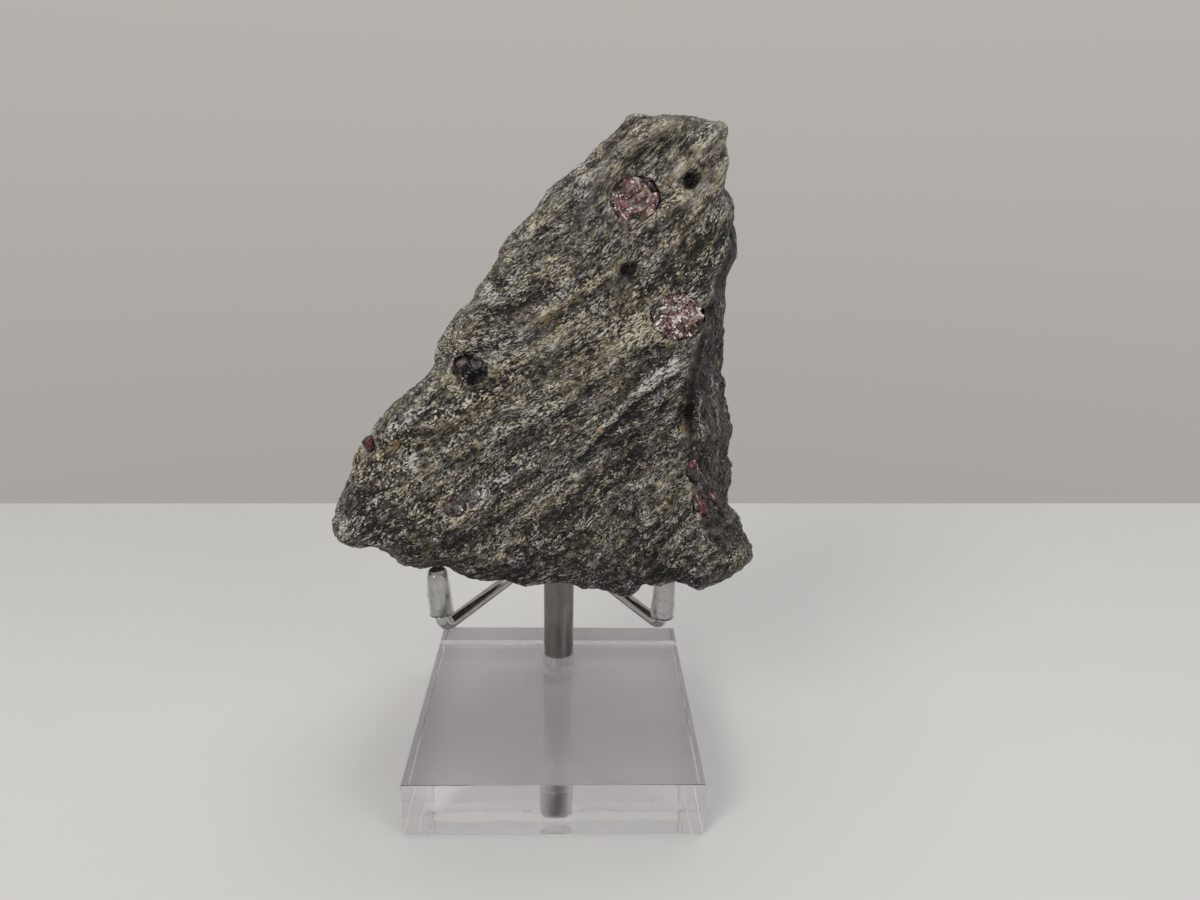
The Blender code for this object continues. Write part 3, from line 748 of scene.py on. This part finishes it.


# Soft patches on the rock's front: x, z, half length, half width, turn in degrees, lighter or darker,
# warmer or greyer. Most are the rock's own tone; some darker ones are painted shade.
FRONT_PATCHES = [
    (21.0, 105.0, 8.0, 5.0, 45, 0.11, 0.08),
    (14.0, 110.5, 6.0, 2.5, 35, 0.06, 0.06),
    (4.0, 83.5, 12.0, 3.5, 25, 0.0, 0.14),
    (12.5, 85.5, 5.5, 2.2, 36, 0.01, 0.16),
    (6.0, 79.0, 10.0, 2.2, 33, 0.04, 0.10),
    (-6.0, 72.5, 11.0, 3.0, 35, 0.05, 0.08),
    (-21.0, 59.5, 8.0, 2.5, 30, 0.07, 0.03),
    (-24.0, 63.6, 3.8, 2.0, 35, 0.15, 0.10),
    (-4.5, 54.5, 7.5, 2.2, 44, 0.13, 0.14),
    (14.5, 60.0, 4.0, 3.2, 40, 0.09, -0.05),
    (3.5, 52.0, 4.5, 1.5, 30, 0.04, 0.0),
    (22.0, 49.5, 7.0, 2.5, 20, 0.05, 0.0),
    (21.8, 57.5, 1.8, 1.2, 60, 0.22, -0.16),
    (-2.0, 87.0, 7.0, 2.2, 22, -0.10, 0.0),
    (-9.5, 74.0, 4.5, 2.5, 35, -0.07, 0.0),
    (-10.5, 56.5, 7.0, 3.0, 32, -0.07, 0.0),
    (12.5, 66.5, 9.0, 5.5, 60, -0.11, -0.13),
    (20.0, 93.5, 7.0, 3.0, 40, -0.18, 0.0),
    (20.5, 79.5, 3.5, 3.5, 0, -0.08, -0.05),
    # Painted shade along the foot
    (0.0, 44.5, 34.0, 6.0, 4, -0.09, -0.08),
    (27.0, 46.0, 9.0, 8.0, 0, -0.04, -0.08),
    (0.0, 96.0, 10.0, 5.0, 40, 0.0, -0.11),
    (-14.5, 77.5, 5.0, 3.2, 35, -0.08, -0.10),
    (-20.0, 71.0, 5.0, 2.0, 55, -0.04, -0.10),
    (-2.0, 50.0, 36.0, 14.0, 4, -0.075, -0.03),
    (-30.0, 53.0, 7.0, 7.0, 0, -0.06, -0.06),
    (-19.5, 50.5, 7.0, 2.8, -5, -0.13, -0.04),
    # Painted shadow below the middle garnet
    (14.5, 78.7, 4.5, 1.8, 30, -0.20, -0.08),
    (8.0, 96.5, 3.5, 3.0, 45, -0.10, 0.0),
    (5.5, 90.5, 3.5, 2.0, 35, -0.10, 0.0),
    (-7.0, 92.5, 4.0, 2.2, 55, -0.10, -0.06),
    (-7.5, 60.0, 4.0, 2.0, 35, -0.08, 0.0),
    (9.0, 60.0, 2.5, 2.0, 45, -0.09, -0.04),
    (3.5, 75.5, 4.5, 1.8, 38, -0.08, 0.0),
    (2.2, 60.5, 3.4, 1.6, 42, 0.21, 0.10),
    (0.5, 81.0, 5.5, 2.2, 32, 0.13, 0.06),
    (16.0, 101.0, 2.5, 2.0, 45, -0.10, 0.0),
    (12.5, 49.0, 3.0, 2.0, 0, 0.08, 0.0),
    # Painted shade along the ridge of the flank
    (21.0, 87.5, 5.5, 1.8, 80, -0.12, -0.04),
    (24.3, 94.5, 4.0, 1.6, 80, -0.12, -0.04),
    # Painted shade at the lower left edge
    (-23.0, 48.6, 4.0, 1.6, -15, -0.12, 0.0),
]

# Where the front is crumbly rather than streaked
CRUMBLY_PATCHES = [
    (14.0, 58.0, 15.0, 9.0, 60),
    (20.0, 48.0, 14.0, 8.0, 0),
    (-8.0, 48.0, 20.0, 5.0, 0),
]

# Pits, sunk into the relief and darkened with painted shade: x, z, radius and depth
PITS = [
    (19.1, 104.1, 1.1, 0.5),
    (10.5, 91.4, 1.2, 0.4),
    (-8.6, 89.4, 1.1, 0.4),
    (19.8, 70.6, 1.7, 0.3),
    (20.6, 73.8, 1.8, 0.3),
    (-12.9, 75.5, 2.2, 0.2),
]

# Rusty grains: x, z and radius
RUST_SPOTS = [
    (-24.2, 65.5, 0.7),
    (19.2, 68.0, 0.5),
    (6.6, 68.0, 0.7),
    (-1.5, 84.5, 0.8),
]


def patch_spread(x, z, row):
    """1 in the middle of a soft patch on the front, falling to 0 at its rim. It takes arrays."""
    patch_x, patch_z, length, width, turn = row[:5]
    cosine, sine = math.cos(math.radians(turn)), math.sin(math.radians(turn))
    right, up = x - patch_x, z - patch_z
    lengthwise = (right * cosine + up * sine) / length
    sideways = (up * cosine - right * sine) / width
    return 1 - soft_step((lengthwise * lengthwise + sideways * sideways) / 1.5)


def read_vectors(source, name):
    values = np.empty(len(source) * 3)
    source.foreach_get(name, values)
    return values.reshape(-1, 3)


def add_attribute(mesh, name, values):
    mesh.attributes.new(name, "FLOAT", "POINT").data.foreach_set("value", values)


def smoothed_places(mesh, places, rounds):
    """Each point moved to the middle of its neighbours, several times over."""
    edges = np.empty(len(mesh.edges) * 2, dtype=np.int64)
    mesh.edges.foreach_get("vertices", edges)
    edges = edges.reshape(-1, 2)
    degree = np.bincount(edges.ravel(), minlength=len(places))[:, None]
    for _ in range(rounds):
        total = np.zeros_like(places)
        np.add.at(total, edges[:, 0], places[edges[:, 1]])
        np.add.at(total, edges[:, 1], places[edges[:, 0]])
        places = total / degree
    return places


# The edge between the front and the flank that faces right, from below: its height and its x
RIDGE_HEIGHTS = (50.0, 53.5, 56.0, 61.5, 67.0, 73.0, 81.0, 88.0, 95.0, 101.0)
RIDGE_PLACES = (24.3, 22.8, 22.0, 20.9, 20.0, 19.8, 21.0, 22.8, 25.6, 27.0)


def paint_rock(mesh, places, normals, wobble, front, crumbly):
    """Stores where the rock is lighter or darker, warmer or greyer, crumbly, rusty or on its flank. The
    darker values hold painted shade on the flank, underneath, along the foot and in the pits.
    """
    x, y, z = places.T
    shade = np.zeros(len(places))
    warmth = np.zeros(len(places))
    rust = np.zeros(len(places))
    for row in FRONT_PATCHES:
        spread = patch_spread(x, z + 1.5 * wobble, row) * front
        shade += row[5] * spread
        warmth += row[6] * spread
    # Painted shade in the pits
    for pit_x, pit_z, radius, _ in PITS:
        distance = np.hypot(x - pit_x, z - pit_z) / radius + 0.5 * wobble
        shade -= 0.20 * front * (1 - soft_step(distance - 0.4))
    for spot_x, spot_z, radius in RUST_SPOTS:
        distance = np.hypot(x - spot_x, z - spot_z) / radius + 0.5 * wobble
        rust += 0.5 * front * (1 - soft_step(distance - 0.3))

    # The flank faces away from the light and gets painted shade, darkest near the ridge; a lighter line
    # runs along the ridge
    past_ridge = x + 0.5 * wobble - np.interp(z, RIDGE_HEIGHTS, RIDGE_PLACES)
    right_side = soft_step((z - FLANK_LOW) / 4) * soft_step((FLANK_HIGH + 2.5 * wobble - z) / 8)
    right_side *= soft_step((normals[:, 0] + 0.3) / 0.3) * soft_step((5.5 + 2.0 * wobble - y) / 7)
    flank = soft_step(past_ridge / 1.1 + 0.3) * right_side
    ridge = np.exp(-((past_ridge + 0.5) / 0.6) ** 2) * right_side * (1 - soft_step((z - 66) / 8))
    near_ridge = 1 - soft_step(past_ridge / 5.5)
    underside = soft_step((-normals[:, 2] + 0.25 * wobble + 0.05) / 0.5)
    foot = soft_step((FOOT_HEIGHT - 0.12 * np.minimum(x, 0) - z + 1.6 * wobble) / 4) * front
    # Painted shade on the flank, on faces that look down and along the foot, greyer on the flank and the
    # foot
    shade += 0.10 * ridge - (0.16 + 0.16 * near_ridge) * flank - 0.06 * underside - 0.08 * foot
    warmth -= 0.10 * flank + 0.10 * foot
    add_attribute(mesh, "shade", shade)
    add_attribute(mesh, "warmth", warmth)
    add_attribute(mesh, "crumbly", crumbly * (1 - flank))
    add_attribute(mesh, "flank", flank)
    add_attribute(mesh, "rust", rust)


def make_rock(material):
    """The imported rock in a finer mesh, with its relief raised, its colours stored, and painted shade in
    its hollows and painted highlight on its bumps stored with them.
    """
    obj = merged_copy("matrix")
    voxel = ROCK_VOXEL
    apply_modifier(obj, "REMESH", mode="VOXEL", voxel_size=voxel * MM, adaptivity=0.0)
    apply_modifier(obj, "SMOOTH", factor=0.6, iterations=4)
    mesh = obj.data
    places = read_vectors(mesh.vertices, "co") / MM
    normals = read_vectors(mesh.vertices, "normal")
    points = [Vector(place) for place in places]
    wobble = np.array([noise.noise(point / 3) + 0.5 * noise.noise(point / 0.9) for point in points])
    x, y, z = places.T
    front = soft_step((FRONT_DEPTH - y) / 4)
    crumbly = sum(patch_spread(x, z + 2.0 * wobble, row) for row in CRUMBLY_PATCHES) * front
    crumbly = np.clip(crumbly, 0, 1)
    paint_rock(mesh, places, normals, wobble, front, crumbly)

    heights = np.array([
        fine_relief(point, Vector(normal), share) for point, normal, share in zip(points, normals, crumbly)
    ])
    places = places + normals * heights[:, None]
    mesh.vertices.foreach_set("co", (places * MM).ravel())
    mesh.update()
    normals = read_vectors(mesh.vertices, "normal")
    # Painted shade in hollows and painted highlight on bumps, from how far each point lies below the middle
    # of its neighbours
    depth = ((smoothed_places(mesh, places, 7) - places) * normals).sum(axis=1)
    add_attribute(mesh, "hollow", np.clip(0.5 + depth * 2.2, 0, 1))
    mesh.polygons.foreach_set("use_smooth", [True] * len(mesh.polygons))
    finish_piece(obj, "schist_rock", "mica_schist", material, "matrix")


# Garnets: node, how far it fills its socket, how much of its depth is kept, size and depth of its shards,
# in millimetres
GARNETS = [
    ("garnet_upper", 0.14, 1.0, 1.40, 0.28),
    ("garnet_middle", 0.10, 1.0, 0.70, 0.42),
    ("garnet_left", 0.20, 1.0, 2.20, 0.50),
    ("garnet_rim", 0.10, 0.9, 0.90, 0.14),
    ("garnet_lower", 0.30, 0.9, 0.70, 0.22),
    ("garnet_flank_top", 0.10, 0.85, 0.90, 0.20),
    ("garnet_flank_middle", 0.10, 0.85, 0.90, 0.25),
    ("garnet_flank_low", 0.10, 0.9, 0.80, 0.18),
]

# Lighter and darker areas of a garnet: right and up from its middle, half length, half width, turn in
# degrees, lightness and how stony it is. The small bright ones are painted glints and highlights.
GARNET_PATCHES = {
    "garnet_upper": [
        (1.2, 2.2, 1.8, 1.1, 0, 0.12, -0.10),
        (-0.4, 2.2, 0.25, 0.9, 8, 0.14, 0.0),
        (0.7, 2.3, 0.15, 0.9, 5, 0.20, 0.0),
        (-1.8, 1.4, 1.1, 1.0, 0, -0.12, 0.02),
        (-2.6, -1.5, 1.7, 1.1, -55, -0.16, -0.20),
        (-1.75, -1.7, 1.5, 0.12, -56, 0.42, 0.10),
        (-2.35, -1.5, 0.9, 0.10, -56, 0.20, 0.05),
        (0.2, -0.5, 1.1, 0.6, 0, 0.10, 0.16),
        (0.8, -2.1, 1.5, 0.7, 0, -0.20, -0.15),
        (2.7, -1.8, 1.0, 0.8, -20, 0.24, 0.02),
        (3.5, -0.4, 0.8, 0.8, 0, -0.08, -0.20),
        # Painted glint
        (3.1, 1.1, 0.25, 0.25, 0, 0.50, 0.0),
        (-0.9, 3.0, 1.0, 0.3, 20, -0.14, 0.0),
    ],
    "garnet_middle": [
        (0.0, 0.0, 5.0, 5.0, 0, 0.03, -0.06),
        (-3.3, 1.4, 0.9, 1.9, 0, -0.42, 0.30),
        # The small bright streaks and spots below are painted glints
        (-2.7, 1.3, 0.8, 0.22, 20, 0.62, 0.20),
        (-3.4, 0.5, 0.5, 0.22, 60, 0.50, 0.20),
        (-0.5, 1.3, 0.9, 0.7, 0, 0.14, 0.30),
        (3.1, 0.9, 1.0, 0.30, -50, 0.55, 0.10),
        (-3.0, -1.8, 0.6, 0.22, -30, 0.60, 0.0),
        (-0.2, -0.3, 0.8, 0.35, 50, 0.50, 0.10),
        (1.0, 0.0, 0.5, 0.22, -20, 0.40, 0.0),
        (1.6, -1.7, 1.5, 1.1, 0, -0.26, -0.30),
        (1.7, -2.5, 0.32, 0.32, 0, 0.80, 0.0),
        (3.5, -1.4, 0.8, 1.2, 0, -0.18, -0.20),
        (-0.1, 2.7, 1.8, 0.5, 0, -0.02, -0.20),
        (-1.6, -1.4, 1.2, 0.8, 0, 0.08, -0.10),
    ],
    "garnet_left": [
        (0.5, -0.9, 1.6, 1.2, 0, -0.22, 0.0),
        (-1.7, 0.8, 1.3, 1.1, 0, 0.16, 0.10),
        (1.6, 1.0, 1.3, 0.7, 0, 0.08, 0.20),
        # Painted highlight on its crest and painted glints below
        (1.1, 1.9, 0.9, 0.35, 15, 0.36, -0.30),
        (-1.5, -1.3, 0.25, 0.2, 0, 0.60, 0.20),
        (-0.9, -1.6, 0.4, 0.15, 30, 0.35, 0.0),
    ],
    "garnet_rim": [
        # Painted highlight in its middle
        (0.3, 0.3, 0.7, 0.4, 0, 0.12, -0.20),
        (-0.7, 0.6, 0.8, 0.4, 40, -0.10, 0.0),
        (0.2, -1.0, 1.8, 0.8, 15, 0.04, 0.60),
    ],
    "garnet_lower": [
        (0.0, 0.0, 3.0, 3.0, 0, 0.0, 0.10),
        (-0.2, -0.8, 1.2, 0.5, 0, -0.14, 0.0),
        (0.5, -0.1, 0.8, 0.5, 0, 0.12, 0.30),
    ],
    "garnet_flank_top": [
        (-0.3, 1.6, 0.8, 0.8, 0, 0.20, -0.30),
        (0.2, -1.4, 1.3, 1.6, 0, 0.02, 0.35),
        (0.2, -0.7, 0.9, 1.4, 0, -0.04, 0.0),
        (0.7, 0.0, 0.12, 1.8, 8, 0.25, 0.20),
    ],
    "garnet_flank_middle": [
        # Painted highlight along its upper left edge
        (-1.0, 2.2, 1.4, 0.25, -50, 0.34, -0.20),
        (0.5, -0.9, 0.6, 1.6, 8, 0.10, -0.40),
        (-0.8, -0.8, 0.6, 1.8, 8, -0.04, 0.40),
        (-0.5, -0.4, 0.12, 1.6, 10, 0.30, 0.40),
    ],
    "garnet_flank_low": [
        # Painted highlight along its upper right
        (0.3, 0.8, 1.2, 0.18, -40, 0.26, 0.20),
        (-0.4, 0.9, 0.8, 0.5, 0, 0.08, -0.10),
        (0.2, -0.8, 1.0, 0.8, 0, -0.14, 0.10),
    ],
}

# Painted light on the rim of the upper garnet, a painted highlight low down and a painted shadow inside it
# on the upper right: from which share of its reach, between which two angles, and how light
PAINTED_RIM_LIGHT = [
    (0.88, -105, -15, 0.30),
    (0.76, 12, 88, -0.42),
]


def shard_relief(point, size, depth):
    """How far a point of a broken crystal stands out: each shard has its own lean and level."""
    place = point / size + noise.noise_vector(point / size * 0.8) * 0.3
    nearest = noise.voronoi(place)[1][0]
    lean = noise.noise_vector(nearest * 3.7)
    return depth * (1.3 * lean.dot(place - nearest) + 0.8 * noise.noise(nearest * 5.3))


def make_garnet(node, swell, kept, size, depth, material):
    """A packed crystal grown to fill its socket, broken into shards, with its light and stony areas,
    painted glints and highlights among them, and on the upper one painted light along its rim.
    """
    obj = merged_copy(node)
    low, high = (Vector(corner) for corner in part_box(node))
    middle = (low + high) / 2
    reach = (high - low).length / (2 * math.sqrt(3)) / MM
    grown = 1 + swell / reach
    bpy.ops.object.mode_set(mode="EDIT")
    bpy.ops.mesh.select_all(action="SELECT")
    bpy.ops.transform.resize(value=(grown, kept, grown), center_override=(middle.x, high.y, middle.z))
    bpy.ops.object.mode_set(mode="OBJECT")
    apply_modifier(obj, "REMESH", mode="VOXEL", voxel_size=GARNET_VOXEL * MM, adaptivity=0.0)
    mesh = obj.data
    places = read_vectors(mesh.vertices, "co") / MM
    normals = read_vectors(mesh.vertices, "normal")
    heights = np.array([shard_relief(Vector(place), size, depth) for place in places])
    wobble = np.array([noise.noise(Vector(place) / 0.7) for place in places])
    x, z = places[:, 0] - middle.x / MM, places[:, 2] - middle.z / MM
    shade = np.zeros(len(places))
    stony = np.zeros(len(places))
    for row in GARNET_PATCHES[node]:
        spread = patch_spread(x + 0.15 * wobble, z + 0.15 * wobble, row)
        shade += 1.2 * row[5] * spread
        stony += row[6] * spread
    # Painted highlight and painted shadow along the upper garnet's rim
    if node == "garnet_upper":
        angle = np.degrees(np.arctan2(z, x))
        outward = np.hypot(x / ((high.x - low.x) / 2), z / ((high.z - low.z) / 2)) * MM
        for share, start, end, light in PAINTED_RIM_LIGHT:
            along = soft_step((angle - start) / 20) * soft_step((end - angle) / 25)
            shade += light * along * soft_step((outward + 0.03 * wobble - share) / 0.08)
    add_attribute(mesh, "shade", shade)
    add_attribute(mesh, "stony", stony)
    mesh.vertices.foreach_set("co", ((places + normals * heights[:, None]) * MM).ravel())
    mesh.update()
    shade_piece(obj, 25)
    finish_piece(obj, node.replace("garnet", "crystal"), "garnet", material, node)


# Stage, light and camera


def add_soft_light(name, place, aim, size, power, colour=(1, 1, 1)):
    """A soft light, in millimetres, pointed from its place at its aim."""
    data = bpy.data.lights.new(name, "AREA")
    data.shape = "RECTANGLE"
    data.size, data.size_y = size[0] * MM, size[1] * MM
    data.energy = power
    data.color = colour
    lamp = bpy.data.objects.new(name, data)
    bpy.context.scene.collection.objects.link(lamp)
    lamp.location = Vector(place) * MM
    lamp.rotation_euler = (Vector(aim) - Vector(place)).to_track_quat("-Z", "Y").to_euler()


def add_world():
    """A pale backdrop all round. As a light it is dimmer behind the viewer and on the right."""
    world = bpy.data.worlds.new("studio")
    bpy.context.scene.world = world
    world.use_nodes = True
    tree = world.node_tree
    tree.nodes.clear()
    coordinates = tree.nodes.new("ShaderNodeTexCoord")
    split = tree.nodes.new("ShaderNodeSeparateXYZ")
    tree.links.new(coordinates.outputs["Generated"], split.inputs[0])

    def graded(axis, start, end, stops):
        stretch = tree.nodes.new("ShaderNodeMapRange")
        stretch.inputs["From Min"].default_value = start
        stretch.inputs["From Max"].default_value = end
        ramp = tree.nodes.new("ShaderNodeValToRGB")
        set_stops(ramp.color_ramp, stops)
        tree.links.new(split.outputs[axis], stretch.inputs["Value"])
        tree.links.new(stretch.outputs[0], ramp.inputs[0])
        return ramp.outputs[0]

    def mixed(blend, factor, first, second):
        mix = tree.nodes.new("ShaderNodeMix")
        mix.data_type = "RGBA"
        mix.blend_type = blend
        for index, value in ((0, factor), (6, first), (7, second)):
            if isinstance(value, float):
                mix.inputs[index].default_value = value
            else:
                tree.links.new(value, mix.inputs[index])
        return mix.outputs[2]

    low, mid, high = (0.375, 0.362, 0.345), (0.468, 0.448, 0.42), (0.66, 0.65, 0.64)
    dim = (0.345, 0.34, 0.335)
    backdrop = graded("Z", -0.4, 1.0, [(0.0, low), (0.4, mid), (1.0, high)])
    overhead = graded("Z", -0.4, 1.0, [(0.0, low), (0.4, mid), (0.75, dim), (1.0, high)])
    behind = graded("Y", -1.0, 1.0, [(0.0, (0.46,) * 3), (0.35, (0.50,) * 3), (0.6, (1.22,) * 3)])
    sideways = graded("X", -1.0, 1.0, [(0.0, (1.12,) * 3), (0.5, (1.0,) * 3), (1.0, (0.9,) * 3)])
    lit = mixed("MULTIPLY", 1.0, mixed("MULTIPLY", 1.0, overhead, behind), sideways)
    path = tree.nodes.new("ShaderNodeLightPath")
    background = tree.nodes.new("ShaderNodeBackground")
    output = tree.nodes.new("ShaderNodeOutputWorld")
    tree.links.new(mixed("MIX", path.outputs["Is Camera Ray"], lit, backdrop), background.inputs["Color"])
    tree.links.new(background.outputs[0], output.inputs["Surface"])


def add_stage():
    deselect()
    bpy.ops.mesh.primitive_grid_add(x_subdivisions=8, y_subdivisions=8, size=1)
    floor = bpy.context.active_object
    floor.name = "floor"
    floor.scale = (FLOOR_WIDTH, FLOOR_DEPTH, 1)
    floor.location = (0, FLOOR_BACK - FLOOR_DEPTH / 2, -0.02 * MM)
    floor.rotation_euler = (0, 0, math.radians(FLOOR_TURN))
    bpy.ops.object.transform_apply(location=True, rotation=True, scale=True)
    floor.data.materials.append(floor_finish())


def add_camera():
    """A wide lens in front and above, slightly turned and rolled."""
    pitch, roll = math.radians(CAMERA_PITCH), math.radians(CAMERA_ROLL)
    turn = Matrix.Rotation(math.radians(CAMERA_TURN), 3, "Z")
    forward = turn @ Vector((0, math.cos(pitch), -math.sin(pitch)))
    right = turn @ Vector((1, 0, 0))
    down = forward.cross(right)
    rolled_right = math.cos(roll) * right + math.sin(roll) * down
    rolled_down = math.cos(roll) * down - math.sin(roll) * right
    data = bpy.data.cameras.new("camera")
    data.sensor_width = 36.0
    data.lens = CAMERA_LENS
    data.clip_start = 0.005
    data.clip_end = 20.0
    camera = bpy.data.objects.new("camera", data)
    bpy.context.scene.collection.objects.link(camera)
    axes = Matrix((rolled_right, -rolled_down, -forward)).transposed().to_4x4()
    camera.matrix_world = Matrix.Translation(Vector(CAMERA_PLACE) * MM) @ axes
    bpy.context.scene.camera = camera


add_camera()
add_world()
add_stage()
add_soft_light("ceiling", (30, -60, 520), (0, -10, 40), (420, 320), 0.48)
add_soft_light("side", (360, 260, 300), (0, 0, 30), (300, 300), 0.20)
add_soft_light("key", (-260, -330, 330), (0, 0, 60), (200, 200), 0.88, (1.0, 0.98, 0.95))
add_soft_light("fill", (320, -300, 240), (0, 0, 60), (220, 220), 0.38, (0.96, 0.98, 1.0))
bpy.context.scene.view_settings.view_transform = "Standard"

make_rock(schist_finish())
# Each garnet: its colours, tone, how cloudy it is, how much its shards and its chips differ, its share of
# painted glints, the size of its shards in millimetres, and its IOR where it isn't garnet's own
GARNET_FINISHES = {
    "garnet_upper": garnet_finish("rosy garnet", MAROON, 0.50, 0.56, 0.36, 0.18, 0.035, 1.1),
    "garnet_middle": garnet_finish("glittering garnet", MAROON, 0.52, 0.65, 0.42, 0.48, 0.12, 0.7),
    "garnet_left": garnet_finish("black garnet", BLACK, 0.39, 0.22, 0.16, 0.05, 0.002, 1.6, 1.36),
    "garnet_rim": garnet_finish("red garnet", RED, 0.42, 0.30, 0.20, 0.14, 0.01, 0.7, 1.5),
    "garnet_lower": garnet_finish("dull garnet", PINK, 0.38, 0.60, 0.30, 0.36, 0.02, 0.6, 1.5),
    "garnet_flank_top": garnet_finish("pink garnet", PINK, 0.40, 0.35, 0.14, 0.20, 0.01, 0.9, 1.4),
    "garnet_flank_middle": garnet_finish("dark red garnet", RED, 0.38, 0.40, 0.24, 0.24, 0.02, 0.6, 1.5),
    "garnet_flank_low": garnet_finish("maroon garnet", PINK, 0.40, 0.30, 0.16, 0.12, 0.01, 0.8, 1.5),
}
for node, *shape in GARNETS:
    make_garnet(node, *shape, GARNET_FINISHES[node])
make_post(post_finish())
make_prongs(wire_finish(), vinyl_finish())
make_base(acrylic_finish())
